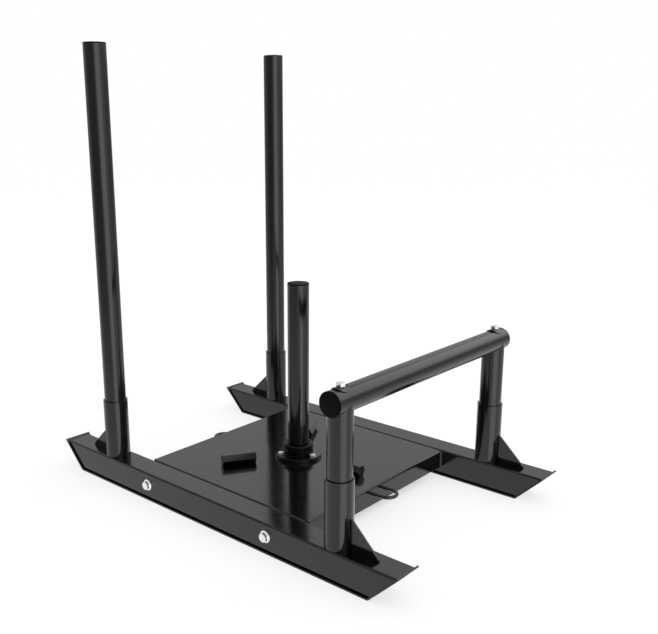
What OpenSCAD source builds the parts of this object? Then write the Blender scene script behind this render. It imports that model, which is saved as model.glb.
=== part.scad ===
// Weight sled: two box runners on bent skids, a bolted tray with a weight post,
// two lift-out push poles at the back and a lift-out handlebar at the front.
// Millimetres. X runs along the runners with the handlebar at +X, Y runs across
// and Z is up. The origin is on the floor under the middle of the sled.

/* [Runners] */
// Length of a runner along its top
runner_l = 1000; // [900:10:1300]
// Width of the runner's box section
runner_w = 60; // [57:1:80]
// Height of the runner's box section
runner_h = 60; // [54:1:80]
// Wall of the box section
runner_wall = 3; // [2:0.5:5]
// Outer corner radius of the box section
runner_corner = 4; // [3.5:0.5:5]
// Distance between the centre lines of the two runners
runner_spacing = 560; // [500:5:700]
// Angle of the cut ends to the floor
end_angle = 45; // [38:1:60]

/* [Skids] */
// Thickness of the skid plate
skid_t = 4; // [3:0.5:8]
// Ledge of the skid past each side of its runner
skid_ledge = 4; // [1:0.5:10]
// Run of the skid's ends past the runner's top, along the slope
skid_lip = 4; // [1:0.5:10]

/* [Sockets] */
// Distance of the back sockets from the middle of the sled
pole_x = 333; // [320:1:370]
// Distance of the front sockets from the middle of the sled
bar_x = 348; // [320:1:370]
// Outer diameter of a socket tube
socket_d = 57; // [54:0.5:57]
// Height of a socket above the runner
socket_h = 138; // [90:1:200]
// Gap between a socket or sleeve and what slides in it, all round
socket_clear = 0.3; // [0.3:0.05:0.6]

/* [Gussets] */
// Length of a gusset's foot on the runner
gusset_foot = 65; // [30:1:75]
// Height of a gusset up its socket
gusset_h = 66; // [30:1:80]
// Thickness of a gusset plate
gusset_t = 5; // [3:0.5:10]
// Height of the square toe at the end of the foot
gusset_toe = 4; // [2:0.5:8]

/* [Tray] */
// Length of the tray along the sled
tray_l = 486; // [460:2:520]
// Thickness of the tray's sheet
tray_t = 3; // [2:0.5:4]
// Depth of the tray's turned-down flanges, from its top
tray_flange = 42; // [42:1:50]
// Outer radius of the tray's bends
tray_bend = 5; // [4.5:0.5:7]
// Reach of the square corner notches past the tray's bends
tray_notch = 1.5; // [1:0.5:12]

/* [Rest bars] */
// Number of rest bars round the weight post
rest_bars = 3; // [3:1:3]
// Distance of a rest bar's inner end from the post's axis
rest_bar_in = 108; // [70:1:130]
// Length of a rest bar
rest_bar_l = 80; // [40:1:110]
// Size of a rest bar's hexagon, from flat to flat
rest_bar_af = 24; // [10:0.5:30]

/* [Weight post] */
// Outer diameter of the weight post
post_d = 50; // [40:0.5:50]
// Height of the weight post above the tray, with its cap
post_h = 421; // [200:1:600]
// Wall of the weight post
post_wall = 4; // [3:0.5:6]
// Diameter of the turned-down foot of the weight post, which stands in the sleeve
post_foot_d = 48; // [45:0.5:49]
// Outer diameter of the sleeve round the post's foot
sleeve_d = 70; // [60:1:70]
// Height of the sleeve's top above the tray
sleeve_top = 33; // [14:1:60]
// Drop of the sleeve's sloped top from the post to its outer edge
sleeve_slope = 4; // [1:0.5:6]
// Diameter of the bolted flange
flange_d = 110; // [110:1:140]
// Thickness of the bolted flange
flange_t = 8; // [5:0.5:12]
// Radius of the flange's bolt circle
flange_bolt_r = 44; // [44:0.5:46]

/* [Push poles] */
// Outer diameter of the push poles and of the handlebar's posts
pole_d = 50; // [38:0.5:50]
// Height of a push pole above the runner, with its cap
pole_h = 943; // [500:1:1200]
// Wall of the push poles, the handlebar and its posts
tube_wall = 2.5; // [2:0.25:4]

/* [Handlebar] */
// Outer diameter of the handlebar
bar_d = 50; // [50:0.5:60]
// Reach of the handlebar past the axis of each post, with its cap
bar_overhang = 32.5; // [32.5:0.5:80]
// Height of the handlebar's axis above the runner
bar_h = 288; // [240:1:420]
// Diameter of the curved washer on top of the handlebar
saddle_d = 34; // [24:1:40]
// Thickness of the curved washer
saddle_t = 3; // [2:0.5:6]

/* [Caps] */
// Height of a cap's head
cap_h = 4; // [3:0.5:8]
// Rise of a cap's dome in the middle
cap_dome = 1.5; // [0.5:0.25:2.5]
// Length of a cap's plug inside its tube
cap_plug = 15; // [8:1:20]

/* [Tow loops] */
// Diameter of the loops' round rod
loop_rod = 8; // [6:0.5:10]
// Distance between the two legs of a loop
loop_w = 42; // [36:1:60]
// Reach of the front loop past the tray, to the middle of the rod
front_reach = 54; // [40:1:90]
// Reach of the rear loop past the tray, to the middle of the rod
rear_reach = 13; // [12:1:30]
// Distance of both loops from the middle of the sled, to the right
loop_offset = 23; // [0:1:60]
// Length of a loop's legs welded under the tray
loop_leg = 40; // [20:1:60]

/* [Runner bolts] */
// Distance of the bolts from the middle of the sled
runner_bolt_x = 185; // [150:1:200]
// Depth of the bolts below the top of the runner
runner_bolt_drop = 27; // [24:0.5:28]
// Thread diameter of the runner bolts
runner_bolt_d = 12; // [8:1:12]

/* [Flange bolts] */
// Thread diameter of the flange bolts
flange_bolt_d = 8; // [5:1:8]

/* [Handlebar bolts] */
// Thread diameter of the handlebar bolts
bar_bolt_d = 10; // [6:1:12]
// Depth of the nut plate below the handlebar
nut_plate_drop = 14; // [12:1:40]
// Thickness of the nut plate in each handlebar post
nut_plate_t = 6; // [4:0.5:12]

/* [Hidden] */
$fn = 72;
// Gap left where two welded pieces meet on a round face
weld_gap = 0.05;
// Gap all round a bolt in its hole
bolt_clear = 0.5;
// Gap between a thread and its nut, all round
thread_clear = 0.1;
// Gap between a cap's plug and its tube, all round
plug_clear = 0.1;
// Gap under a pole on its runner and under the weight post on the tray
stand_gap = 0.3;
// Gap between the weight post's shoulder and the sleeve's top
shoulder_gap = 1;
// Height and depth of the thin groove under a cap's head
cap_groove = 0.8;
// Smallest inner corner radius of the box section
inner_corner = 0.5;
// Slope of the chamfer round a bolt's head or a nut
hex_slope = 30;
// How far cutting shapes run past the faces that they cut
over = 2;

// Heights from the floor
runner_top = skid_t + runner_h;
tray_under = runner_top - tray_t;
bar_z = runner_top + bar_h;
bar_l = runner_spacing + 2 * bar_overhang;
runner_bolt_z = runner_top - runner_bolt_drop;
loop_z = tray_under - loop_rod / 2 - weld_gap;

// Places across and along the sled
runner_y = runner_spacing / 2;
runner_outer_y = runner_y + runner_w / 2;
tray_w = runner_spacing - runner_w;
runner_bottom_l = runner_l - 2 * runner_h / tan(end_angle);

// Round sizes worked out from the tubes
socket_bore_d = pole_d + 2 * socket_clear;
sleeve_bore_d = post_foot_d + 2 * socket_clear;
pole_bore_d = pole_d - 2 * tube_wall;
bar_bore_d = bar_d - 2 * tube_wall;
post_bore_d = post_d - 2 * post_wall;

// Hardware proportions, as shares of the thread's diameter
function head_af(d) = 1.5 * d + (d < 12 ? 1 : 0);
function head_h(d) = 0.65 * d;
function nut_h(d) = 0.85 * d;
function washer_od(d) = 2.17 * d;
function washer_h(d) = 0.2 * d;
function bolt_tail(d) = 0.3 * d;
function hex_chamfer(d) = 0.08 * head_af(d);
function tip_chamfer(d) = 0.12 * d;

paint = "#26282b";
plastic = "#141516";
zinc = "#c4c7cb";

// Outline of a box section with round corners
module box_outline(w, h, r) {
    square([w - 2 * r, h], center = true);
    square([w, h - 2 * r], center = true);
    for (x = [-1, 1], y = [-1, 1])
        translate([x * (w / 2 - r), y * (h / 2 - r)]) circle(r);
}

// Extrudes an outline drawn in X and Z across the sled, centred on Y
module across(width) {
    rotate([90, 0, 0]) linear_extrude(width, center = true) children();
}

// Round tube standing on its foot
module tube(d, bore, h) {
    difference() {
        cylinder(d = d, h = h);
        translate([0, 0, -over]) cylinder(d = bore, h = h + 2 * over);
    }
}

// Hexagon with its outer edges chamfered, standing on the washer side
module hexagon(d, h) {
    chamfer = hex_chamfer(d);
    corner_r = head_af(d) / 2 / cos(30);
    intersection() {
        cylinder(r = corner_r, h = h, $fn = 6);
        union() {
            cylinder(r = corner_r + over, h = h - chamfer);
            translate([0, 0, h - chamfer])
                cylinder(r1 = corner_r, r2 = corner_r - chamfer / tan(hex_slope), h = chamfer);
        }
    }
}

// Hex bolt with its head above z = 0 and its shank below
module hex_bolt(d, grip) {
    hexagon(d, head_h(d));
    chamfer = tip_chamfer(d);
    translate([0, 0, chamfer - grip]) cylinder(d = d, h = grip - chamfer);
    translate([0, 0, -grip]) cylinder(d1 = d - 2 * chamfer, d2 = d, h = chamfer);
}

// Hex nut hanging below z = 0
module hex_nut(d) {
    rotate([180, 0, 0]) difference() {
        hexagon(d, nut_h(d));
        translate([0, 0, -over]) cylinder(d = d + 2 * thread_clear, h = nut_h(d) + 2 * over);
    }
}

// Flat washer lying on z = 0
module washer(d) {
    tube(washer_od(d), d + bolt_clear, washer_h(d));
}

// Plug-in cap: a plug inside the tube, a thin groove and a low domed head on z = 0
module tube_cap(d, bore) {
    dome_r = (d * d / 4 + cap_dome * cap_dome) / (2 * cap_dome);
    plug_r = bore / 2 - plug_clear;
    translate([0, 0, -cap_plug]) cylinder(r = plug_r, h = cap_plug + cap_groove);
    cylinder(d = d - 2 * cap_groove, h = cap_groove);
    translate([0, 0, cap_groove]) intersection() {
        cylinder(d = d, h = cap_h - cap_groove);
        translate([0, 0, cap_h - cap_groove - dome_r]) sphere(r = dome_r, $fn = 180);
    }
}

// Repeats its children at the four runner bolts, with Z pointing out of the sled
module at_runner_bolts(y) {
    for (side = [-1, 1], x = [-runner_bolt_x, runner_bolt_x])
        translate([x, side * y, runner_bolt_z]) rotate([-side * 90, 0, 0]) children();
}

// Repeats its children at the flange bolts
module at_flange_bolts() {
    for (i = [0 : rest_bars - 1])
        rotate([0, 0, i * 360 / rest_bars]) translate([flange_bolt_r, 0, 0]) children();
}

module runner(side) {
    half = runner_l / 2;
    bottom_half = runner_bottom_l / 2;
    color(paint) translate([0, side * runner_y, 0]) difference() {
        translate([0, 0, skid_t + runner_h / 2]) rotate([90, 0, 90])
            linear_extrude(runner_l, center = true) difference() {
                box_outline(runner_w, runner_h, runner_corner);
                box_outline(runner_w - 2 * runner_wall, runner_h - 2 * runner_wall,
                            max(runner_corner - runner_wall, inner_corner));
            }
        for (end = [-1, 1])
            across(runner_w + 2 * over) polygon([
                [end * bottom_half, skid_t], [end * half, runner_top],
                [end * (half + over), runner_top], [end * (half + over), skid_t - over],
                [end * bottom_half, skid_t - over]
            ]);
        for (x = [-runner_bolt_x, runner_bolt_x])
            translate([x, 0, runner_bolt_z]) rotate([90, 0, 0])
                cylinder(d = runner_bolt_d + 2 * bolt_clear, h = runner_w + 2 * over, center = true);
    }
}

module skid(side) {
    in_x = runner_bottom_l / 2;
    out_x = in_x + skid_t * tan(end_angle / 2);
    tip_in = [runner_l / 2 + skid_lip * cos(end_angle), runner_top + skid_lip * sin(end_angle)];
    tip_out = tip_in + skid_t * [sin(end_angle), -cos(end_angle)];
    color(paint) translate([0, side * runner_y, 0])
        across(runner_w + 2 * skid_ledge) polygon([
            [-out_x, 0], [out_x, 0], tip_out, tip_in, [in_x, skid_t],
            [-in_x, skid_t], [-tip_in.x, tip_in.y], [-tip_out.x, tip_out.y]
        ]);
}

// Edge of the tray along Y: the bend and the flange below it, at the +X side
module tray_edge(half, length) {
    translate([half - tray_bend, 0, runner_top - tray_bend]) across(length) {
        intersection() {
            difference() {
                circle(tray_bend);
                circle(tray_bend - tray_t);
            }
            square(tray_bend);
        }
        translate([tray_bend - tray_t, tray_bend - tray_flange])
            square([tray_t, tray_flange - tray_bend]);
    }
}

module tray() {
    hole_d = runner_bolt_d + 2 * bolt_clear;
    flat_l = tray_l - 2 * tray_bend;
    flat_w = tray_w - 2 * tray_bend;
    notched_l = flat_l - 2 * tray_notch;
    notched_w = flat_w - 2 * tray_notch;
    rod_hole_d = loop_rod + 4 * weld_gap;
    color(paint) difference() {
        union() {
            translate([-flat_l / 2, -notched_w / 2, tray_under]) cube([flat_l, notched_w, tray_t]);
            translate([-notched_l / 2, -flat_w / 2, tray_under]) cube([notched_l, flat_w, tray_t]);
            for (turn = [0, 180]) rotate([0, 0, turn]) tray_edge(tray_l / 2, notched_w);
            for (turn = [90, 270]) rotate([0, 0, turn]) tray_edge(tray_w / 2, notched_l);
        }
        at_flange_bolts() translate([0, 0, tray_under - over])
            cylinder(d = flange_bolt_d + 2 * bolt_clear, h = tray_t + 2 * over);
        at_runner_bolts(tray_w / 2 - tray_t / 2)
            cylinder(d = hole_d, h = tray_t + 2 * over, center = true);
        for (leg = [-1, 1])
            translate([tray_l / 2 - tray_bend - over, leg * loop_w / 2 - loop_offset, loop_z])
                rotate([0, 90, 0]) cylinder(d = rod_hole_d, h = tray_bend + 2 * over);
        translate([-tray_l / 2 - over, -loop_offset - (loop_w + rod_hole_d) / 2,
                   loop_z - rod_hole_d / 2])
            cube([tray_bend + 2 * over, loop_w + rod_hole_d, rod_hole_d / 2 + loop_rod / 2 + weld_gap]);
    }
}

module socket(x, side) {
    color(paint) translate([x, side * runner_y, runner_top])
        tube(socket_d, socket_bore_d, socket_h);
}

// Gusset from a socket towards the runner's nearer end
module gusset(x, side) {
    end = sign(x);
    foot = socket_d / 2 + gusset_foot;
    color(paint) translate([x, side * runner_y, runner_top]) difference() {
        across(gusset_t) polygon([
            [0, 0], [end * foot, 0], [end * foot, gusset_toe],
            [end * socket_d / 2, gusset_h], [0, gusset_h]
        ]);
        translate([0, 0, -over]) cylinder(d = socket_d + 2 * weld_gap, h = gusset_h + 2 * over);
        translate([-end * socket_d / 2, 0, gusset_h / 2])
            cube([socket_d, gusset_t + 2 * over, gusset_h + 2 * over], center = true);
    }
}

// Hexagonal bar pointing at the weight post, one flat side down on the tray
module rest_bar(i) {
    color(paint) rotate([0, 0, i * 360 / rest_bars])
        translate([rest_bar_in, 0, runner_top + rest_bar_af / 2]) rotate([90, 0, 90])
            linear_extrude(rest_bar_l) circle(r = rest_bar_af / 2 / cos(30), $fn = 6);
}

module post_flange() {
    color(paint) translate([0, 0, runner_top]) difference() {
        tube(flange_d, sleeve_bore_d, flange_t);
        at_flange_bolts() translate([0, 0, -over])
            cylinder(d = flange_bolt_d + 2 * bolt_clear, h = flange_t + 2 * over);
    }
}

module post_sleeve() {
    height = sleeve_top - flange_t;
    color(paint) translate([0, 0, runner_top + flange_t]) rotate_extrude() polygon([
        [sleeve_bore_d / 2, 0], [sleeve_d / 2, 0], [sleeve_d / 2, height - sleeve_slope],
        [post_d / 2 + shoulder_gap, height], [sleeve_bore_d / 2, height]
    ]);
}

// Weight post with a turned-down foot; its shoulder stays just clear of the sleeve
module weight_post() {
    top = post_h - cap_h;
    shoulder = sleeve_top + shoulder_gap;
    color(paint) translate([0, 0, runner_top]) rotate_extrude() polygon([
        [post_bore_d / 2, stand_gap], [post_foot_d / 2, stand_gap], [post_foot_d / 2, shoulder],
        [post_d / 2, shoulder], [post_d / 2, top], [post_bore_d / 2, top]
    ]);
}

module weight_post_cap() {
    color(plastic) translate([0, 0, runner_top + post_h - cap_h]) tube_cap(post_d, post_bore_d);
}

module flange_bolts() {
    d = flange_bolt_d;
    grip = flange_t + tray_t + washer_h(d) + nut_h(d) + bolt_tail(d);
    color(zinc) at_flange_bolts() translate([0, 0, runner_top + flange_t]) hex_bolt(d, grip);
}

module flange_washers() {
    color(zinc) at_flange_bolts()
        translate([0, 0, tray_under - washer_h(flange_bolt_d)]) washer(flange_bolt_d);
}

module flange_nuts() {
    color(zinc) at_flange_bolts()
        translate([0, 0, tray_under - washer_h(flange_bolt_d)]) hex_nut(flange_bolt_d);
}

// Tow loop at the +X side: a half ring with two straight legs
module tow_loop(reach) {
    centre_x = tray_l / 2 + reach - loop_w / 2;
    leg = reach - loop_w / 2 + loop_leg;
    translate([centre_x, 0, loop_z]) {
        rotate([0, 0, -90]) rotate_extrude(angle = 180)
            translate([loop_w / 2, 0]) circle(d = loop_rod, $fn = 36);
        for (y = [-loop_w / 2, loop_w / 2])
            translate([-leg, y, 0]) rotate([0, 90, 0]) cylinder(d = loop_rod, h = leg, $fn = 36);
    }
}

module front_tow_loop() {
    color(paint) translate([0, -loop_offset, 0]) tow_loop(front_reach);
}

module rear_tow_loop() {
    color(paint) translate([0, -loop_offset, 0]) rotate([0, 0, 180]) tow_loop(rear_reach);
}

module runner_bolts() {
    d = runner_bolt_d;
    grip = washer_h(d) + runner_w + tray_t + washer_h(d) + nut_h(d) + bolt_tail(d);
    color(zinc) at_runner_bolts(runner_outer_y + washer_h(d)) hex_bolt(d, grip);
}

module outer_washers() {
    color(zinc) at_runner_bolts(runner_outer_y) washer(runner_bolt_d);
}

module inner_washers() {
    color(zinc) at_runner_bolts(tray_w / 2 - tray_t - washer_h(runner_bolt_d)) washer(runner_bolt_d);
}

module runner_nuts() {
    color(zinc) at_runner_bolts(tray_w / 2 - tray_t - washer_h(runner_bolt_d)) hex_nut(runner_bolt_d);
}

module push_pole(side) {
    color(paint) translate([-pole_x, side * runner_y, runner_top + stand_gap])
        tube(pole_d, pole_bore_d, pole_h - cap_h - stand_gap);
}

module push_pole_cap(side) {
    color(plastic) translate([-pole_x, side * runner_y, runner_top + pole_h - cap_h])
        tube_cap(pole_d, pole_bore_d);
}

// Lays its children along the handlebar, with Z pointing to +Y
module along_bar() {
    translate([bar_x, 0, bar_z]) rotate([-90, 0, 0]) children();
}

module handlebar() {
    length = bar_l - 2 * cap_h;
    color(paint) difference() {
        along_bar() translate([0, 0, -length / 2]) tube(bar_d, bar_bore_d, length);
        for (side = [-1, 1])
            translate([bar_x, side * runner_y, bar_z])
                cylinder(d = bar_bolt_d + 2 * bolt_clear, h = bar_d + 2 * over, center = true);
    }
}

// Post of the handlebar, its top cut to the handlebar's round underside
module bar_post(side) {
    foot = runner_top + stand_gap;
    color(paint) difference() {
        translate([bar_x, side * runner_y, foot]) tube(pole_d, pole_bore_d, bar_z - foot);
        along_bar() rotate([0, 0, -90])
            cylinder(d = bar_d + 2 * weld_gap, h = bar_l + 2 * over, center = true);
    }
}

module bar_cap(side) {
    color(plastic) translate([bar_x, side * (bar_l / 2 - cap_h), bar_z])
        rotate([-side * 90, 0, 0]) tube_cap(bar_d, bar_bore_d);
}

// Round washer bent to the handlebar's curve
module saddle(side) {
    color(paint) difference() {
        intersection() {
            translate([bar_x, side * runner_y, bar_z]) cylinder(d = saddle_d, h = bar_d);
            along_bar() cylinder(d = bar_d + 2 * saddle_t, h = bar_l, center = true);
        }
        along_bar() cylinder(d = bar_d + 2 * weld_gap, h = bar_l + 2 * over, center = true);
        translate([bar_x, side * runner_y, bar_z])
            cylinder(d = bar_bolt_d + 2 * bolt_clear, h = bar_d);
    }
}

module bar_bolts() {
    d = bar_bolt_d;
    grip = saddle_t + bar_d + nut_plate_drop + nut_plate_t + nut_h(d) + bolt_tail(d);
    color(zinc) for (side = [-1, 1])
        translate([bar_x, side * runner_y, bar_z + bar_d / 2 + saddle_t]) hex_bolt(d, grip);
}

// Round plate in the top of each handlebar post, with a hole for the bolt
module nut_plates() {
    top = bar_z - bar_d / 2 - nut_plate_drop;
    color(paint) for (side = [-1, 1])
        translate([bar_x, side * runner_y, top - nut_plate_t])
            tube(pole_bore_d - 2 * weld_gap, bar_bolt_d + 2 * bolt_clear, nut_plate_t);
}

module bar_nuts() {
    top = bar_z - bar_d / 2 - nut_plate_drop - nut_plate_t;
    color(zinc) for (side = [-1, 1])
        translate([bar_x, side * runner_y, top]) hex_nut(bar_bolt_d);
}

runner(1);  // left_runner
runner(-1);  // right_runner
skid(1);  // left_skid
skid(-1);  // right_skid
tray();
socket(bar_x, 1);  // front_left_socket
socket(bar_x, -1);  // front_right_socket
socket(-pole_x, 1);  // rear_left_socket
socket(-pole_x, -1);  // rear_right_socket
gusset(bar_x, 1);  // front_left_gusset
gusset(bar_x, -1);  // front_right_gusset
gusset(-pole_x, 1);  // rear_left_gusset
gusset(-pole_x, -1);  // rear_right_gusset
rest_bar(0);  // front_rest_bar
rest_bar(1);  // left_rest_bar
rest_bar(2);  // right_rest_bar
post_flange();
post_sleeve();
weight_post();
weight_post_cap();
flange_bolts();
flange_washers();
flange_nuts();
front_tow_loop();
rear_tow_loop();
runner_bolts();
outer_washers();
inner_washers();
runner_nuts();
push_pole(1);  // left_pole
push_pole_cap(1);  // left_pole_cap
push_pole(-1);  // right_pole
push_pole_cap(-1);  // right_pole_cap
handlebar();
bar_post(1);  // left_bar_post
bar_post(-1);  // right_bar_post
bar_cap(1);  // left_bar_cap
bar_cap(-1);  // right_bar_cap
saddle(1);  // left_saddle
saddle(-1);  // right_saddle
bar_bolts();
nut_plates();
bar_nuts();
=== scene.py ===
"""Weight sled, dressed piece by piece in the order in which it is put together.

Metres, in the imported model's own frame: X along the runners, Y across, Z up from the floor.
"""

import bpy
import numpy as np
from mathutils import Matrix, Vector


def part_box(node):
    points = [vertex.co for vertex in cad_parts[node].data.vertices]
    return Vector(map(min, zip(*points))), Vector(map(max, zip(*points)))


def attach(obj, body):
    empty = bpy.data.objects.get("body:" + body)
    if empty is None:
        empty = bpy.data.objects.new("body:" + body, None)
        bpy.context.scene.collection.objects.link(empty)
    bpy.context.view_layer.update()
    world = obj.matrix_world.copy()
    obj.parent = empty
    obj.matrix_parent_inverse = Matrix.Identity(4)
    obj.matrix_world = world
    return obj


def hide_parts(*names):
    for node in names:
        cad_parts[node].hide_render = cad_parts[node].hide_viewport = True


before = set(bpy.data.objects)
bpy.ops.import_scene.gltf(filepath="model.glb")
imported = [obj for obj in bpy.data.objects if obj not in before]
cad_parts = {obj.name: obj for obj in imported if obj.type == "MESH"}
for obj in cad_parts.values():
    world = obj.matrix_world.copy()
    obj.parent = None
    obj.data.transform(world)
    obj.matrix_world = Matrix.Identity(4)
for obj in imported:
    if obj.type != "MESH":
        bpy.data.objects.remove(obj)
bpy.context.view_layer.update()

# Skids
# Each skid is one strip of steel plate under a runner, bent up at both ends so that it closes
# the runner's cut ends. It is welded on, coated with the rest, and rubs on the floor below.
skid_t = 0.004
skid_edge_r = 0.0008
skid_bend_r = 0.004
edge_steps = 4
bend_steps = 8
end_angle = np.radians(45)
sharp_turn = np.radians(30)
coat_black = (0.0016, 0.0016, 0.0017, 1)
coat_ior = 1.5
gloss_patch_scale = 45.0
peel_scale = 800.0
peel_depth = 0.000012
noise_low, noise_high = 0.3, 0.7


def unit(vectors):
    """Each vector divided by its length."""
    return vectors / np.linalg.norm(vectors, axis=-1, keepdims=True)


def rounded(corners, radius, steps):
    """A closed outline with round corners, each an arc of so many steps. Each arc touches both
    sides of its corner: its centre is on the bisector, radius / sin(half the angle between the
    sides) from the corner."""
    p = np.asarray(corners, float)
    back, ahead = unit(np.roll(p, 1, 0) - p), unit(np.roll(p, -1, 0) - p)
    half = np.arccos(np.sum(back * ahead, -1, keepdims=True)) / 2
    centre = p + unit(back + ahead) * radius / np.sin(half)
    first = (p + back * radius / np.tan(half) - centre)[:, None]
    last = (p + ahead * radius / np.tan(half) - centre)[:, None]
    turn = (np.pi - 2 * half)[:, None]
    t = np.linspace(0, 1, steps + 1)[None, :, None]
    arc = (np.sin((1 - t) * turn) * first + np.sin(t * turn) * last) / np.sin(turn)
    return (centre[:, None] + arc).reshape(-1, p.shape[1])


def rounded_box(start, end, bottom, top, radius, steps):
    """A rectangle with round corners, from start to end and from bottom to top."""
    return rounded([(start, bottom), (start, top), (end, top), (end, bottom)], radius, steps)


def carried(outline, path, side):
    """Rings of an outline carried along a flat path. The outline's first coordinate runs along
    side, and its second along the path's direction crossed with side."""
    side = np.asarray(side, float)
    normal = np.cross(unit(np.gradient(path, axis=0)), side)
    return path[:, None] + outline[:, :1] * side + outline[:, 1:] * normal[:, None]


def skin(rings, looped=False):
    """Points and faces over a stack of rings: each point joins the next on its ring and the same
    point of the next ring. The end rings are closed flat, or joined to each other if looped.
    The volume under the faces, summed over their triangles, is positive if they face outwards."""
    rows, count = rings.shape[:2]
    points = rings.reshape(-1, 3)
    row, col = np.arange(rows if looped else rows - 1)[:, None], np.arange(count)[None]
    row_on, col_on = (row + 1) % rows, (col + 1) % count
    corners = [row * count + col, row * count + col_on, row_on * count + col_on, row_on * count + col]
    quads = np.stack(corners, -1).reshape(-1, 4)
    ends = [] if looped else [np.arange(count)[::-1], np.arange(count) + (rows - 1) * count]
    fans = [np.stack([np.full(count - 2, end[0]), end[1:-1], end[2:]], -1) for end in ends]
    triangles = np.vstack([quads[:, [0, 1, 2]], quads[:, [0, 2, 3]], *fans])
    a, b, c = points[triangles].transpose(1, 0, 2)
    outward = 1 if np.sum(a * np.cross(b, c)) > 0 else -1
    return points, [face[::outward].tolist() for face in [*quads, *ends]]


def add_piece(name, solids, finish, body, nodes):
    """One object from a list of solids, each given as points and faces. It stands for its CAD
    nodes and rides on their body. Edges that turn by more than sharp_turn stay sharp, and the
    larger of two faces sets the normal between them, so that flat faces mirror as flat."""
    offsets = np.cumsum([0] + [len(points) for points, _ in solids])
    faces = [[i + offset for i in face] for offset, (_, some) in zip(offsets, solids) for face in some]
    mesh = bpy.data.meshes.new(name)
    mesh.from_pydata(np.vstack([points for points, _ in solids]).tolist(), [], faces)
    mesh.shade_smooth()
    mesh.set_sharp_from_angle(angle=sharp_turn)
    mesh.materials.append(finish)
    piece = bpy.data.objects.new(name, mesh)
    bpy.context.scene.collection.objects.link(piece)
    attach(piece, body)
    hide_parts(*nodes)
    piece.modifiers.new("flat_faces", "WEIGHTED_NORMAL").keep_sharp = True
    return piece


def noise(tree, scale):
    """Noise on the piece's own coordinates, with scale features to the metre."""
    place = tree.nodes.new("ShaderNodeTexCoord")
    texture = tree.nodes.new("ShaderNodeTexNoise")
    texture.inputs["Scale"].default_value = scale
    tree.links.new(place.outputs["Object"], texture.inputs["Vector"])
    return texture.outputs["Fac"]


def remapped(tree, value, low, high):
    """The middle of a noise's values, from noise_low to noise_high, spread from low to high."""
    spread = tree.nodes.new("ShaderNodeMapRange")
    spread.inputs["From Min"].default_value = noise_low
    spread.inputs["From Max"].default_value = noise_high
    spread.inputs["To Min"].default_value = low
    spread.inputs["To Max"].default_value = high
    tree.links.new(value, spread.inputs["Value"])
    return spread.outputs["Result"]


def bumped(tree, shader, height, distance):
    """Bump on a shader, with the height's full range standing for distance in metres."""
    bump = tree.nodes.new("ShaderNodeBump")
    bump.inputs["Distance"].default_value = distance
    tree.links.new(height, bump.inputs["Height"])
    tree.links.new(bump.outputs["Normal"], shader.inputs["Normal"])


def grained(name, colour, roughness, patch_scale, grain_scale, grain_depth):
    """A material whose roughness varies from patch to patch between two values, under a fine
    grain in relief, and its shader."""
    material = bpy.data.materials.new(name)
    material.use_nodes = True
    tree = material.node_tree
    shader = tree.nodes["Principled BSDF"]
    shader.inputs["Base Color"].default_value = colour
    tree.links.new(remapped(tree, noise(tree, patch_scale), *roughness), shader.inputs["Roughness"])
    bumped(tree, shader, noise(tree, grain_scale), grain_depth)
    return material, shader


def powder_coat(name, roughness, shine):
    """Black powder coat: a fine orange peel about a millimetre wide, and a gloss that varies a
    little from place to place."""
    coat, shader = grained(name, coat_black, roughness, gloss_patch_scale, peel_scale, peel_depth)
    shader.inputs["IOR"].default_value = coat_ior
    shader.inputs["Specular IOR Level"].default_value = shine
    return coat


gloss_coat = powder_coat("gloss_coat", roughness=(0.11, 0.15), shine=0.5)
for side in ("left", "right"):
    low, high = np.array(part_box(f"{side}_skid"))
    half_w, half_t = (high[1] - low[1]) / 2, skid_t / 2
    strip = rounded_box(half_w, -half_w, -half_t, half_t, skid_edge_r, edge_steps)
    rise = high[2] - half_t - half_t * np.cos(end_angle)
    tip_x = high[0] - half_t * np.sin(end_angle)
    foot_x = tip_x - rise / np.tan(end_angle)
    rear_tip, front_tip = (-tip_x, half_t + rise), (tip_x, half_t + rise)
    arcs = rounded([rear_tip, (-foot_x, half_t), (foot_x, half_t), front_tip], skid_bend_r, bend_steps)
    # The tips themselves stay sharp, so the first and the last arc are left out.
    flat = np.vstack([rear_tip, arcs[bend_steps + 1:-bend_steps - 1], front_tip])
    route = np.stack([flat[:, 0], np.full(len(flat), (low[1] + high[1]) / 2), flat[:, 1]], -1)
    add_piece(f"{side}_skid_strip", [skin(carried(strip, route, (0, 1, 0)))], gloss_coat, "sled",
              [f"{side}_skid"])

# Runners
# Two lengths of square box section, cut at 45 degrees at both ends and welded to the skids.
# Everything else is welded or bolted to them.
runner_wall = 0.003
runner_corner_r = 0.004


def cut_ring(middle, half, corner_r, top, tip_x):
    """A square outline at a cut end: its X is the tip's, less the drop from the runner's top over
    tan(end_angle) towards the middle."""
    ring = rounded_box(half, -half, -half, half, corner_r, bend_steps) + middle[1:]
    x = tip_x - np.sign(tip_x) * (top - ring[:, 1]) / np.tan(end_angle)
    return np.column_stack([x, ring])


for side in ("left", "right"):
    low, high = np.array(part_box(f"{side}_runner"))
    middle, half_h = (low + high) / 2, (high[2] - low[2]) / 2
    outside, inside = (half_h, runner_corner_r), (half_h - runner_wall, runner_corner_r - runner_wall)
    rings = np.stack([cut_ring(middle, *section, high[2], tip_x) for section, tip_x in (
        (outside, low[0]), (outside, high[0]), (inside, high[0]), (inside, low[0]))])
    add_piece(f"{side}_runner_box", [skin(rings, looped=True)], gloss_coat, "sled",
              [f"{side}_runner"])

# Sockets
# Four short lengths of round tube stand on the runners. The push poles and the handlebar's
# posts drop into them. Their cut rims are broken with a file before coating.
socket_wall = 0.0032
rim_r = 0.0003
rim_steps = 3
tube_sides = 96


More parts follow.
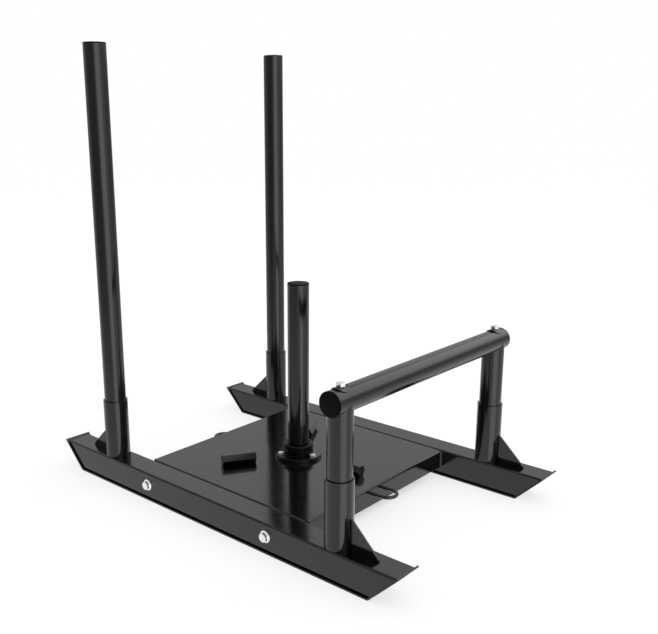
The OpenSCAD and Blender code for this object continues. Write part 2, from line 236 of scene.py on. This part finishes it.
def turned(outline, sides=tube_sides):
    """Rings of an outline of radius and height, turned about Z: each point makes a circle."""
    angle = np.linspace(0, 2 * np.pi, sides, endpoint=False)
    radius, height = outline[:, :1], outline[:, 1:]
    return np.stack([radius * np.cos(angle), radius * np.sin(angle), height + 0 * angle], -1)


def tube(radius, wall, bottom, top):
    """Rings of a round tube about Z with round rims."""
    return turned(rounded_box(radius, radius - wall, bottom, top, rim_r, rim_steps))


sockets = [f"{end}_{side}_socket" for end in ("front", "rear") for side in ("left", "right")]
for node in sockets:
    low, high = np.array(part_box(node))
    middle = (low + high) / 2
    rings = tube(high[0] - middle[0], socket_wall, low[2], high[2])
    add_piece(f"{node}_tube", [skin(rings + [middle[0], middle[1], 0], looped=True)], gloss_coat, "sled",
              [node])

# Gussets
# A triangle of plate is welded between each socket and the runner, on the side of the runner's
# nearer end, with its edges dressed round.
gusset_edge_r = 0.0007
gusset_toe = 0.004
weld_lap = 0.00005


def soften(piece, width, segments=rim_steps):
    """Rounds the sharp edges of a piece with a bevel of that width."""
    bevel = piece.modifiers.new("dressed_edges", "BEVEL")
    bevel.width = width
    bevel.segments = segments
    bevel.limit_method = "ANGLE"
    bevel.angle_limit = sharp_turn
    bevel.harden_normals = True
    bevel.use_clamp_overlap = False
    piece.modifiers.move(piece.modifiers.find("flat_faces"), len(piece.modifiers) - 1)


for node in sockets:
    socket_low, socket_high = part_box(node)
    plate = node.replace("socket", "gusset")
    low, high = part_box(plate)
    end = np.sign(low[0])
    heel = (socket_high[0] if end > 0 else socket_low[0]) - end * weld_lap
    toe = high[0] if end > 0 else low[0]
    outline = np.array([(heel, low[2]), (toe, low[2]), (toe, low[2] + gusset_toe), (heel, high[2])])
    rings = np.stack([np.insert(outline, 1, y, axis=1) for y in (low[1], high[1])])
    gusset = add_piece(f"{plate}_plate", [skin(rings)], gloss_coat, "sled", [plate])
    soften(gusset, gusset_edge_r)

# Tray
# One steel sheet between the runners, level with their tops. Its four edges are bent down, its
# corners are notched for the bends, and two of the bent edges are bolted to the runners.
tray_t = 0.003
tray_bend_r = 0.005
tray_notch = 0.0065
slot_gap = 0.0001
tray_edge_r = 0.0004
tray_edge_segments = 2


def folded(half, depth, bend_drop, leg_drop):
    """Places and drops across a sheet that is flat, then turns down round a bend and goes on
    straight: along the bend, place = flat half + r sin(a) and drop = r (1 - cos(a)). There are
    extra lines at one drop in the bend and one in the straight leg."""
    even = np.linspace(0, np.pi / 2, bend_steps + 1)
    a = np.sort(np.append(even, np.arccos(1 - bend_drop / tray_bend_r)))
    place = np.append(half - tray_bend_r + tray_bend_r * np.sin(a), [half, half])
    drop = np.append(tray_bend_r * (1 - np.cos(a)), [leg_drop, depth])
    return place, drop


def mirrored(place, drop, inner):
    """The fold on both sides of the sheet, with the places of inner lines between them."""
    inner = np.asarray(inner)
    return (np.concatenate([-place[::-1], inner, place]),
            np.concatenate([drop[::-1], np.zeros(len(inner)), drop]))


def grid_cells(rows, columns):
    """The four corners of each cell of a grid whose points are numbered row by row."""
    index = np.arange(rows * columns).reshape(rows, columns)
    return np.stack([index[:-1, :-1], index[1:, :-1], index[1:, 1:], index[:-1, 1:]], -1)


low, high = np.array(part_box("tray"))
loop_low, loop_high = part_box("rear_tow_loop")
slot_low, slot_high = loop_low[1] - slot_gap, loop_high[1] + slot_gap
slot_top, slot_foot = tray_t, high[2] - loop_low[2] + slot_gap
notch_x, notch_y = high[0] - tray_notch, high[1] - tray_notch
depth = high[2] - low[2]
x, drop_x = mirrored(*folded(high[0], depth, slot_top, slot_foot), [-notch_x, notch_x])
y, drop_y = mirrored(*folded(high[1], depth, slot_top, slot_foot),
                     [-notch_y, slot_low, slot_high, notch_y])
grid = np.stack([x[:, None] + 0 * y, y + 0 * x[:, None], high[2] - drop_x[:, None] - drop_y], -1)
cells = grid_cells(len(x), len(y))
cell_x, cell_y, cell_drop = ((line[1:] + line[:-1]) / 2 for line in (x, y, drop_x))
in_corner = (abs(cell_x)[:, None] > notch_x) & (abs(cell_y) > notch_y)
by_slot_x = (cell_x < 0) & (cell_drop > slot_top) & (cell_drop < slot_foot)
in_slot = by_slot_x[:, None] & (cell_y > slot_low) & (cell_y < slot_high)
used, renumbered = np.unique(cells[~in_corner & ~in_slot], return_inverse=True)
faces = renumbered.reshape(-1, 4).tolist()
sheet = add_piece("tray_sheet", [(grid.reshape(-1, 3)[used], faces)], gloss_coat, "sled", ["tray"])
thickness = sheet.modifiers.new("sheet_thickness", "SOLIDIFY")
thickness.thickness = tray_t
thickness.offset = -1
thickness.use_even_offset = True
soften(sheet, tray_edge_r, tray_edge_segments)

# Rest bars
# Three short hexagonal bars lie on the tray round the weight post and are welded down. They
# hold the lowest weight plate clear of the flange.
rest_bar_edge_r = 0.0008
low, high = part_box("front_rest_bar")
flats = high[2] - low[2]
corner = np.pi / 3 * np.arange(6)
hexagon = flats / 2 / np.cos(np.pi / 6) * np.stack([np.cos(corner), np.sin(corner)], -1)
for third, node in enumerate(("front_rest_bar", "left_rest_bar", "right_rest_bar")):
    angle = 2 * np.pi * third / 3
    along = np.array([np.cos(angle), np.sin(angle), 0])
    route = along * np.array([[low[0]], [high[0]]]) + [0, 0, low[2] + flats / 2]
    rings = carried(hexagon, route, (-np.sin(angle), np.cos(angle), 0))
    bar = add_piece(f"{node}_hexagon", [skin(rings)], gloss_coat, "sled", [node])
    soften(bar, rest_bar_edge_r)

# Flange and sleeve
# The weight post stands in a short sleeve on a round flange, which three bolts hold to the tray.
# Both are turned steel. The sleeve's top is turned round, like a bead, and its coat is duller.
sleeve_bore_r = 0.0243
bead_drop, bead_dip = 0.004, 0.002
bead_steps = 16
groove_w = 0.0022
flange_edge_r = 0.0004
satin_coat = powder_coat("satin_coat", roughness=(0.26, 0.32), shine=0.14)
flange_low, flange_high = np.array(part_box("post_flange"))
sleeve_low, sleeve_high = np.array(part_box("post_sleeve"))
rings = turned(rounded_box(flange_high[0], sleeve_bore_r, flange_low[2], flange_high[2],
                           flange_edge_r, edge_steps))
add_piece("post_flange_disc", [skin(rings, looped=True)], gloss_coat, "sled", ["post_flange"])


def bead(outer, inner, top, drop, dip):
    """Half of an egg-shaped bead, from its outer foot over its crest to its inner foot: the
    radius is the middle's + half the width x cos(a), and the height is the top's less
    (1 - sin(a)) x drop outside the crest, and x dip inside it."""
    a = np.linspace(0, np.pi, bead_steps + 1)
    radius = (outer + inner) / 2 + (outer - inner) / 2 * np.cos(a)
    return np.stack([radius, top - (1 - np.sin(a)) * np.where(np.cos(a) > 0, drop, dip)], -1)


crest = bead(sleeve_high[0], sleeve_bore_r + groove_w, sleeve_high[2], bead_drop, bead_dip)
outline = np.vstack([(sleeve_high[0], sleeve_low[2]), crest,
                     (sleeve_bore_r, sleeve_high[2] - bead_dip), (sleeve_bore_r, sleeve_low[2])])
add_piece("post_sleeve_ring", [skin(turned(outline), looped=True)], satin_coat, "sled",
          ["post_sleeve"])

# Flange bolts
# Three zinc-plated hex bolts go down through the flange and the tray, each with a washer and a
# nut under the tray. A size called a share is over the thread's diameter.
flange_bolt_d = 0.008
flange_thread_pitch = 0.00125
bolt_circle_r = 0.044
flats_share = 1.5
small_thread_d, small_flats_extra = 0.012, 0.001
head_share = 0.65
nut_share = 0.85
washer_share = 0.2
washer_r_share = 1.085
washer_gap = 0.0002
washer_edge_r = 0.0003
hex_sides = 72
chamfer_over_flats, chamfer_steps = 0.08, 6
crown_over_flats = 0.95
seat_over_hexagon, seat_step = 0.985, 0.0002
thread_sides = 48
rings_per_turn = 6
groove_over_pitch = 0.6
point_share, point_taper = 0.12, 0.1
shank_lap = 0.0005
nut_bite = 0.0002
nut_rim = 0.0003
zinc_colour = (0.80, 0.81, 0.83, 1)
dull_patch_scale = 300.0
zinc_grain_scale = 2500.0
zinc_grain_depth = 0.000008


def zinc_plate(name, roughness):
    """Zinc plate: metal with a fine grain, and patches where it is a little duller."""
    plate, shader = grained(name, zinc_colour, roughness, dull_patch_scale, zinc_grain_scale,
                            zinc_grain_depth)
    shader.inputs["Metallic"].default_value = 1
    return plate


def across_flats(d):
    """Width of a head or nut from flat to flat: flats_share x the thread's diameter d, and
    small_flats_extra more for threads below small_thread_d."""
    return flats_share * d + (small_flats_extra if d < small_thread_d else 0)


def hex_rings(flats, height, turn=0.0):
    """Rings of a hexagon, turned round by an angle, whose corners a 30 degree cone has cut: the
    radius is the smaller of flats / 2 / cos(angle from the nearest flat's middle) and the cone's."""
    angle = np.linspace(0, 2 * np.pi, hex_sides, endpoint=False)
    hexagon = flats / 2 / np.cos((angle - turn + np.pi / 6) % (np.pi / 3) - np.pi / 6)
    depth = np.linspace(chamfer_over_flats * flats, 0, chamfer_steps + 1)
    cone = crown_over_flats * flats / 2 + depth / np.tan(np.pi / 6)
    radius = np.vstack([hexagon * seat_over_hexagon, hexagon, np.minimum(hexagon, cone[:, None])])
    level = np.concatenate([[0, seat_step], height - depth])
    return np.stack([radius * np.cos(angle), radius * np.sin(angle), level[:, None] + 0 * angle], -1)


def thread_rings(d, pitch, bottom, top):
    """Rings of a threaded shank: the radius falls from the crest by a triangle wave of the height
    in pitches less the angle in turns, so that the groove climbs one pitch a turn. The shank also
    narrows a little to its point."""
    angle = np.linspace(0, 2 * np.pi, thread_sides, endpoint=False)
    height = np.arange(bottom, top, pitch / rings_per_turn)[:, None]
    wave = abs((height / pitch - angle / (2 * np.pi)) % 1 * 2 - 1)
    taper = 1 - point_taper + point_taper * np.clip((height - bottom) / (point_share * d), 0, 1)
    radius = (d / 2 - groove_over_pitch * pitch * wave) * taper
    return np.stack([radius * np.cos(angle), radius * np.sin(angle), height + 0 * angle], -1)


def seated(rings, foot, up):
    """Rings stood on a point, with their Z turned to point along up."""
    up = np.asarray(up, float)
    across = unit(np.cross(up, (1, 0, 0)))
    return rings @ np.stack([np.cross(across, up), across, up]) + np.asarray(foot)


def hex_bolt(d, pitch, grip, foot, up, turn=0.0):
    """Head, turned round by an angle, and threaded shank of a bolt whose head sits at foot."""
    head = hex_rings(across_flats(d), head_share * d, turn)
    shank = thread_rings(d, pitch, -grip, shank_lap)
    return [skin(seated(head, foot, up)), skin(seated(shank, foot, up))]


def hex_nut(d, foot, up):
    """Nut that sits at foot, with the corners of its far side cut, closed round the thread."""
    height, bore_r = nut_share * d, d / 2 - nut_bite
    bore = turned(np.array([(bore_r, height - nut_rim), (bore_r, nut_rim)]), hex_sides)
    rings = np.concatenate([hex_rings(across_flats(d), height), bore])
    return [skin(seated(rings, foot, up), looped=True)]


def washer(d, foot, up):
    """Flat washer lying at foot, with its edges rounded by the punch."""
    outline = rounded_box(washer_r_share * d, d / 2 + washer_gap, 0, washer_share * d, washer_edge_r,
                          rim_steps)
    return [skin(seated(turned(outline, hex_sides), foot, up), looped=True)]


def at_each(feet, up, make, *sizes, **more):
    """The same fastener at each foot, all pointing along up."""
    return [solid for foot in feet for solid in make(*sizes, foot, up, **more)]


bright_zinc = zinc_plate("bright_zinc", roughness=(0.1, 0.18))
frosted_zinc = zinc_plate("frosted_zinc", roughness=(0.42, 0.52))
thirds = 2 * np.pi / 3 * np.arange(3)
circle = bolt_circle_r * np.stack([np.cos(thirds), np.sin(thirds)], -1)
washer_z = flange_low[2] - tray_t
nut_z = washer_z - washer_share * flange_bolt_d
head_feet, washer_feet, nut_feet = ([(*place, z) for place in circle]
                                    for z in (flange_high[2], washer_z, nut_z))
grip = flange_high[2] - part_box("flange_bolts")[0][2]
heads = at_each(head_feet, (0, 0, 1), hex_bolt, flange_bolt_d, flange_thread_pitch, grip)
add_piece("flange_bolts_hex", heads, frosted_zinc, "sled", ["flange_bolts"])
washers = at_each(washer_feet, (0, 0, -1), washer, flange_bolt_d)
add_piece("flange_washers_flat", washers, bright_zinc, "sled", ["flange_washers"])
nuts = at_each(nut_feet, (0, 0, -1), hex_nut, flange_bolt_d)
add_piece("flange_nuts_hex", nuts, bright_zinc, "sled", ["flange_nuts"])

# Runner bolts
# Two larger zinc-plated bolts on each side go right through a runner and the tray's bent edge,
# with a washer under the head outside and a washer and nut inside.
runner_bolt_d = 0.012
runner_thread_pitch = 0.00175
runner_bolt_x = 0.185
point_showing_share = 0.3
washer_box_low, washer_box_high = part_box("outer_washers")
bolt_z = (washer_box_low[2] + washer_box_high[2]) / 2
runner_out_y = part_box("left_runner")[1][1]
tray_in_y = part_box("tray")[1][1] - tray_t
washer_t = washer_share * runner_bolt_d
point_y = tray_in_y - washer_t - (nut_share + point_showing_share) * runner_bolt_d
grip = runner_out_y + washer_t - point_y


def at_runner(make, reach, inward, *sizes):
    """The same fastener at each of the four bolts, reach out from the middle of the sled."""
    solids = []
    for sign in (-1, 1):
        feet = [(x, sign * reach, bolt_z) for x in (-runner_bolt_x, runner_bolt_x)]
        solids += at_each(feet, (0, -sign if inward else sign, 0), make, *sizes)
    return solids


heads = at_runner(hex_bolt, runner_out_y + washer_t, False, runner_bolt_d, runner_thread_pitch, grip)
add_piece("runner_bolts_hex", heads, bright_zinc, "sled", ["runner_bolts"])
washers = at_runner(washer, runner_out_y, False, runner_bolt_d)
add_piece("outer_washers_flat", washers, bright_zinc, "sled", ["outer_washers"])
washers = at_runner(washer, tray_in_y, True, runner_bolt_d)
add_piece("inner_washers_flat", washers, bright_zinc, "sled", ["inner_washers"])
nuts = at_runner(hex_nut, tray_in_y - washer_t, True, runner_bolt_d)
add_piece("runner_nuts_hex", nuts, bright_zinc, "sled", ["runner_nuts"])

# Tow loops
# Two loops of round rod, each bent to a U, with its legs welded under the tray. The front one
# takes a strap or a hook, and the rear one comes out through the slot in the tray's bent edge.
rod_r = 0.004
rod_sides = 24
bow_steps = 24
for end, node in ((1, "front_tow_loop"), (-1, "rear_tow_loop")):
    low, high = np.array(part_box(node))
    eye_r = (high[1] - low[1]) / 2 - rod_r
    bow_x = (high[0] if end > 0 else -low[0]) - rod_r - eye_r
    leg_x = low[0] if end > 0 else -high[0]
    a = np.linspace(-np.pi / 2, np.pi / 2, bow_steps + 1)
    x = np.concatenate([[leg_x], bow_x + eye_r * np.cos(a), [leg_x]])
    y = np.concatenate([[-eye_r], eye_r * np.sin(a), [eye_r]])
    route = np.stack([end * x, (low[1] + high[1]) / 2 + y, np.full(len(x), (low[2] + high[2]) / 2)], -1)
    a = np.linspace(0, 2 * np.pi, rod_sides, endpoint=False)
    rod = rod_r * np.stack([np.cos(a), np.sin(a)], -1)
    add_piece(f"{node}_rod", [skin(carried(rod, route, (0, 0, 1)))], gloss_coat, "sled", [node])

# Push poles
# Two long round tubes stand in the rear sockets and lift straight out. Each is closed at the
# top by a plug of black plastic with a low domed head.
tube_wall = 0.0025
cap_groove = 0.0008
cap_dome, dome_rings = 0.0015, 14
cap_edge = 0.0006
cap_step = 0.0003
cap_chamfer = 0.0002
cap_fit = 0.0001
cap_eye_r = 0.0008
cap_black = (0.0022, 0.0022, 0.0023, 1)
cap_shine = 0.05
cap_patch_scale = 120.0
mould_grain_scale = 1800.0
mould_grain_depth = 0.00002


def moulded(name, roughness):
    """Matte black plastic with the fine grain of its mould."""
    plastic, shader = grained(name, cap_black, roughness, cap_patch_scale, mould_grain_scale,
                              mould_grain_depth)
    shader.inputs["Specular IOR Level"].default_value = cap_shine
    return plastic


def cap_rings(radius, bore_r, plug, head):
    """Rings of a plug, a thin groove and a head whose dome's height over the rim falls with the
    square of the distance from the middle. Z = 0 is the tube's end."""
    r = np.linspace(radius - cap_edge, cap_eye_r, dome_rings)
    dome = np.stack([r, head - cap_dome * (r / radius) ** 2], -1)
    plug_r, groove_r, rim = bore_r - cap_fit, radius - cap_groove, head - cap_dome
    return turned(np.vstack([[(cap_eye_r, -plug), (plug_r, -plug), (plug_r, 0), (groove_r, 0),
                              (groove_r, cap_groove), (radius - cap_chamfer, cap_groove),
                              (radius, cap_groove + cap_step), (radius, rim - cap_edge),
                              (radius - cap_chamfer, rim - cap_chamfer)], dome]))


cap_plastic = moulded("cap_plastic", roughness=(0.42, 0.5))
for side in ("left", "right"):
    low, high = np.array(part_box(f"{side}_pole"))
    cap_low, cap_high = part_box(f"{side}_pole_cap")
    middle = (low + high) / 2 * [1, 1, 0]
    radius = (high[0] - low[0]) / 2
    body = f"{side}_push_pole"
    rings = tube(radius, tube_wall, low[2], high[2]) + middle
    add_piece(f"{side}_pole_tube", [skin(rings, looped=True)], gloss_coat, body, [f"{side}_pole"])
    rings = cap_rings(radius, radius - tube_wall, high[2] - cap_low[2], cap_high[2] - high[2])
    add_piece(f"{side}_pole_plug", [skin(rings + middle + [0, 0, high[2]])], cap_plastic, body,
              [f"{side}_pole_cap"])

# Weight post
# A thick tube with a foot turned down to fit the sleeve, so that its shoulder stops just above
# the sleeve. Its top has the same kind of plug as the push poles.
post_wall = 0.004
post_edge_r = 0.0004
post_clearance = 0.0003
shoulder_gap = 0.001
low, high = np.array(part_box("weight_post"))
post_r, bore_r = high[0], high[0] - post_wall
shoulder_z = sleeve_high[2] + shoulder_gap
post_foot_r = sleeve_bore_r - post_clearance
outline = rounded([(bore_r, low[2]), (post_foot_r, low[2]), (post_foot_r, shoulder_z), (post_r, shoulder_z),
                   (post_r, high[2]), (bore_r, high[2])], post_edge_r, rim_steps)
add_piece("weight_post_tube", [skin(turned(outline), looped=True)], gloss_coat, "post",
          ["weight_post"])
cap_low, cap_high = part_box("weight_post_cap")
rings = cap_rings(post_r, bore_r, high[2] - cap_low[2], cap_high[2] - high[2])
add_piece("weight_post_plug", [skin(rings + [0, 0, high[2]])], cap_plastic, "post",
          ["weight_post_cap"])

# Handlebar
# A cross tube on two posts, which drop into the front sockets. The posts' tops are cut round to
# fit under the tube. Its ends are plugged.
bar_gap = 0.00005
bar_low, bar_high = np.array(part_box("handlebar"))
bar_middle = (bar_low + bar_high) / 2
bar_r = (bar_high[0] - bar_low[0]) / 2
half_l = bar_high[1]
rings = seated(tube(bar_r, tube_wall, -half_l, half_l), bar_middle * [1, 0, 1], (0, 1, 0))
add_piece("handlebar_tube", [skin(rings, looped=True)], gloss_coat, "handlebar_frame",
          ["handlebar"])


def coped(radius, middle, bottom):
    """Rings of a post's foot and of its top under a round bar: the top's height at a point is the
    bar's axis less sqrt(bar radius squared - the point's distance along X squared)."""
    angle = np.linspace(0, 2 * np.pi, tube_sides, endpoint=False)
    x, y = radius * np.cos(angle), radius * np.sin(angle)
    top = bar_middle[2] - np.sqrt((bar_r + bar_gap) ** 2 - x ** 2)
    return [np.stack([middle[0] + x, middle[1] + y, height], -1) for height in (bottom + 0 * x, top)]


for side, sign in (("left", 1), ("right", -1)):
    low, high = np.array(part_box(f"{side}_bar_post"))
    middle, radius = (low + high) / 2, (high[0] - low[0]) / 2
    outer, inner = coped(radius, middle, low[2]), coped(radius - tube_wall, middle, low[2])
    add_piece(f"{side}_bar_post_tube", [skin(np.stack([*outer, *inner[::-1]]), looped=True)], gloss_coat,
              "handlebar_frame", [f"{side}_bar_post"])
    cap_low, cap_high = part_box(f"{side}_bar_cap")
    reach = cap_high[1] if sign > 0 else -cap_low[1]
    plug = half_l - (cap_low[1] if sign > 0 else -cap_high[1])
    rings = seated(cap_rings(bar_r, bar_r - tube_wall, plug, reach - half_l),
                   (bar_middle[0], sign * half_l, bar_middle[2]), (0, sign, 0))
    add_piece(f"{side}_bar_plug", [skin(rings)], cap_plastic, "handlebar_frame",
              [f"{side}_bar_cap"])

# Handlebar bolts
# Over each post a zinc-plated bolt goes down through a bent washer and the tube, into a nut
# under the plate that closes the post's top.
bar_bolt_d = 0.010
bar_thread_pitch = 0.0015
bar_bolt_turn = np.radians(40)
saddle_r = 0.017
saddle_t = 0.003
saddle_bore_gap = 0.0005
saddle_edge_r = 0.0005
saddle_thinning = 0.7


def bent_washer(centre_y):
    """A round washer wrapped on the bar: a point at distance s and angle a on the flat washer
    goes s cos(a) round the bar, as an arc, and s sin(a) along it. The washer thins towards its
    two sides, by the square of the distance round the bar over the washer's radius."""
    angle = np.linspace(0, 2 * np.pi, hex_sides, endpoint=False)
    edge = rounded_box(bar_bolt_d / 2 + saddle_bore_gap, saddle_r, 0, saddle_t, saddle_edge_r, rim_steps)
    around, along = edge[:, :1] * np.cos(angle), edge[:, :1] * np.sin(angle)
    height = bar_r + bar_gap + edge[:, 1:] * (1 - saddle_thinning * (around / saddle_r) ** 2)
    return np.stack([bar_middle[0] + height * np.sin(around / bar_r), centre_y + along,
                     bar_middle[2] + height * np.cos(around / bar_r)], -1)


post_low, post_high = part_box("left_bar_post")
post_y = post_high[1] - (post_high[0] - post_low[0]) / 2
for side, centre_y in (("right", -post_y), ("left", post_y)):
    add_piece(f"{side}_saddle_washer", [skin(bent_washer(centre_y), looped=True)], gloss_coat,
              "handlebar_frame", [f"{side}_saddle"])
bolt_top = bar_high[2] + saddle_t
nut_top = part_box("nut_plates")[0][2]
grip = bolt_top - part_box("bar_bolts")[0][2]
head_feet, nut_feet = ([(bar_middle[0], y, z) for y in (-post_y, post_y)] for z in (bolt_top, nut_top))
heads = at_each(head_feet, (0, 0, 1), hex_bolt, bar_bolt_d, bar_thread_pitch, grip, turn=bar_bolt_turn)
add_piece("bar_bolts_hex", heads, bright_zinc, "handlebar_frame", ["bar_bolts"])
nuts = at_each(nut_feet, (0, 0, -1), hex_nut, bar_bolt_d)
add_piece("bar_nuts_hex", nuts, bright_zinc, "handlebar_frame", ["bar_nuts"])
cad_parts["nut_plates"].data.materials.clear()
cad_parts["nut_plates"].data.materials.append(gloss_coat)

# Floor and light
# A plain white floor keeps a faint soft shadow of the sled, and a soft dark patch of painted shadow lies on
# it under the tray. The studio is white, with dim screens in front, behind and above, a tall softbox
# at the right and a wide one above the back.
white = (1, 1, 1, 1)
floor_half = 30.0
floor_glow = 0.7
screen_middle = (0, 0, 0.3)


def staged(name, points, faces, material):
    """A mesh that isn't part of the object."""
    mesh = bpy.data.meshes.new(name)
    mesh.from_pydata(points, [], faces)
    mesh.materials.append(material)
    item = bpy.data.objects.new(name, mesh)
    bpy.context.scene.collection.objects.link(item)
    return item


def two_shaders(name, kinds):
    """A new material that mixes two shaders, with the tree, both shaders and the mix."""
    material = bpy.data.materials.new(name)
    material.use_nodes = True
    tree = material.node_tree
    tree.nodes.clear()
    shaders = [tree.nodes.new(kind) for kind in kinds]
    mix = tree.nodes.new("ShaderNodeMixShader")
    for slot, shader in enumerate(shaders, 1):
        tree.links.new(shader.outputs[0], mix.inputs[slot])
    tree.links.new(mix.outputs["Shader"], tree.nodes.new("ShaderNodeOutputMaterial").inputs["Surface"])
    return material, tree, *shaders, mix


floor_white, _, matte, glow, mix = two_shaders(
    "floor_white", ("ShaderNodeBsdfDiffuse", "ShaderNodeEmission"))
matte.inputs["Color"].default_value = white
glow.inputs["Color"].default_value = white
mix.inputs["Fac"].default_value = floor_glow
corners = floor_half * np.array([(-1, -1, 0), (1, -1, 0), (1, 1, 0), (-1, 1, 0)])
floor = staged("floor", corners.tolist(), [range(len(corners))], floor_white)
floor.visible_glossy = False


def faded_patch(name, points, fades, material):
    """A staged grid whose fade, at each of its points, is the product of the fades of its row
    and its column."""
    cells = grid_cells(*points.shape[:2])
    patch = staged(name, points.reshape(-1, 3).tolist(), cells.reshape(-1, 4).tolist(), material)
    values = patch.data.attributes.new("fade", "FLOAT", "POINT").data
    values.foreach_set("value", np.ravel(fades[0][:, None] * fades[1]))
    return patch


def faded_material(name, kind):
    """A material that goes from clear to a shader of that kind with the fade attribute."""
    material, tree, _, shader, mix = two_shaders(name, ("ShaderNodeBsdfTransparent", kind))
    shader.inputs["Color"].default_value = white
    fade = tree.nodes.new("ShaderNodeAttribute")
    fade.attribute_name = "fade"
    tree.links.new(fade.outputs["Fac"], mix.inputs["Fac"])
    return material, shader


def soft_step(places, width):
    """1 inside a row of places, falling to 0 at its ends over a width, as 3 t squared - 2 t cubed."""
    t = np.clip(np.minimum(places - places[0], places[-1] - places) / width, 0, 1)
    return t * t * (3 - 2 * t)


# Painted shadow: a dark grey patch laid on the floor under the tray, fading at its edges, stands for the
# deep shade there.
shade_z = 0.0004
shade_soft = 0.09
shade_lines = 41
shade_grey = (0.04, 0.04, 0.04, 1)
under_low, under_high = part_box("tray")
shade_x, shade_y = (np.linspace(under_low[axis], under_high[axis], shade_lines) for axis in (0, 1))
flat = 0 * shade_x[:, None] + 0 * shade_y
shade_points = np.stack([shade_x[:, None] + flat, shade_y + flat, shade_z + flat], -1)
floor_shaded, matte = faded_material("floor_shaded", "ShaderNodeBsdfDiffuse")
matte.inputs["Color"].default_value = shade_grey
painted_shadow_under_tray = faded_patch("painted_shadow_under_tray", shade_points,
                               [soft_step(row, shade_soft) for row in (shade_x, shade_y)], floor_shaded)
painted_shadow_under_tray.visible_glossy = False

screen_lines = 49


def soft_screen(name, azimuths, elevations, soft, distance, level):
    """A screen round the sled, a patch of a sphere between two azimuths and two elevations, in
    degrees: azimuth 0 is along -Y and 90 along +X. Its sides and its top and bottom fade to
    nothing over two soft widths, and the camera looks past it."""
    azimuth, elevation = (np.linspace(*span, screen_lines) for span in (azimuths, elevations))
    turn, tilt = np.radians(azimuth)[:, None], np.radians(elevation)
    points = distance * np.stack([np.sin(turn) * np.cos(tilt), -np.cos(turn) * np.cos(tilt),
                                  np.sin(tilt) + 0 * turn], -1) + screen_middle
    material, glow = faded_material(name, "ShaderNodeEmission")
    glow.inputs["Strength"].default_value = level
    fades = [soft_step(row, width) for row, width in zip((azimuth, elevation), soft)]
    screen = faded_patch(name, points, fades, material)
    screen.visible_camera = False
    return screen


dim_screens = [
    soft_screen("front_screen", azimuths=(-75, 58), elevations=(-26, 50), soft=(40, 24),
                distance=6.0, level=0.35),
    soft_screen("back_screen", azimuths=(-250, -45), elevations=(-26, 33), soft=(35, 28),
                distance=6.5, level=0.48),
    soft_screen("high_screen", azimuths=(-170, -50), elevations=(28, 88), soft=(25, 15),
                distance=7.0, level=0.45)]
for screen in dim_screens:
    screen.visible_diffuse = False
    screen.visible_shadow = False
soft_screen("tall_softbox", azimuths=(37, 101), elevations=(-60, 38), soft=(18, 20),
            distance=5.0, level=2.15)
soft_screen("overhead_softbox", azimuths=(118, 192), elevations=(8, 68), soft=(18, 18),
            distance=5.5, level=1.95)
world = bpy.data.worlds.new("studio")
world.use_nodes = True
world.node_tree.nodes["Background"].inputs["Color"].default_value = white
bpy.context.scene.world = world

# Camera
# At the photograph's viewing angle, right of the front and a little above the sled.
image_w, image_h = 658, 634
focal_px = 837.23
centre_px, centre_py = 289.06, 334.06
camera_at = (1.2401, -1.4053, 0.8449)
sensor_w = 36.0
view_reach = 100.0
azimuth, elevation, roll = np.radians((42.080, 14.414, -0.299))
towards = np.array([np.sin(azimuth) * np.cos(elevation), -np.cos(azimuth) * np.cos(elevation),
                    np.sin(elevation)])
level = unit(np.cross(-towards, (0, 0, 1)))
upright = np.cross(level, -towards)
right = np.cos(roll) * level + np.sin(roll) * upright
up = np.cos(roll) * upright - np.sin(roll) * level
lens = bpy.data.cameras.new("camera")
lens.sensor_fit = "HORIZONTAL"
lens.sensor_width = sensor_w
lens.lens = focal_px / image_w * sensor_w
lens.shift_x = (image_w / 2 - centre_px) / image_w
lens.shift_y = (centre_py - image_h / 2) / image_w
lens.clip_end = view_reach
camera = bpy.data.objects.new("camera", lens)
bpy.context.scene.collection.objects.link(camera)
turn = np.stack([right, up, towards], -1)
camera.matrix_world = Matrix([*([*row, place] for row, place in zip(turn, camera_at)), [0, 0, 0, 1]])
bpy.context.scene.camera = camera
bpy.context.scene.view_settings.view_transform = "Standard"
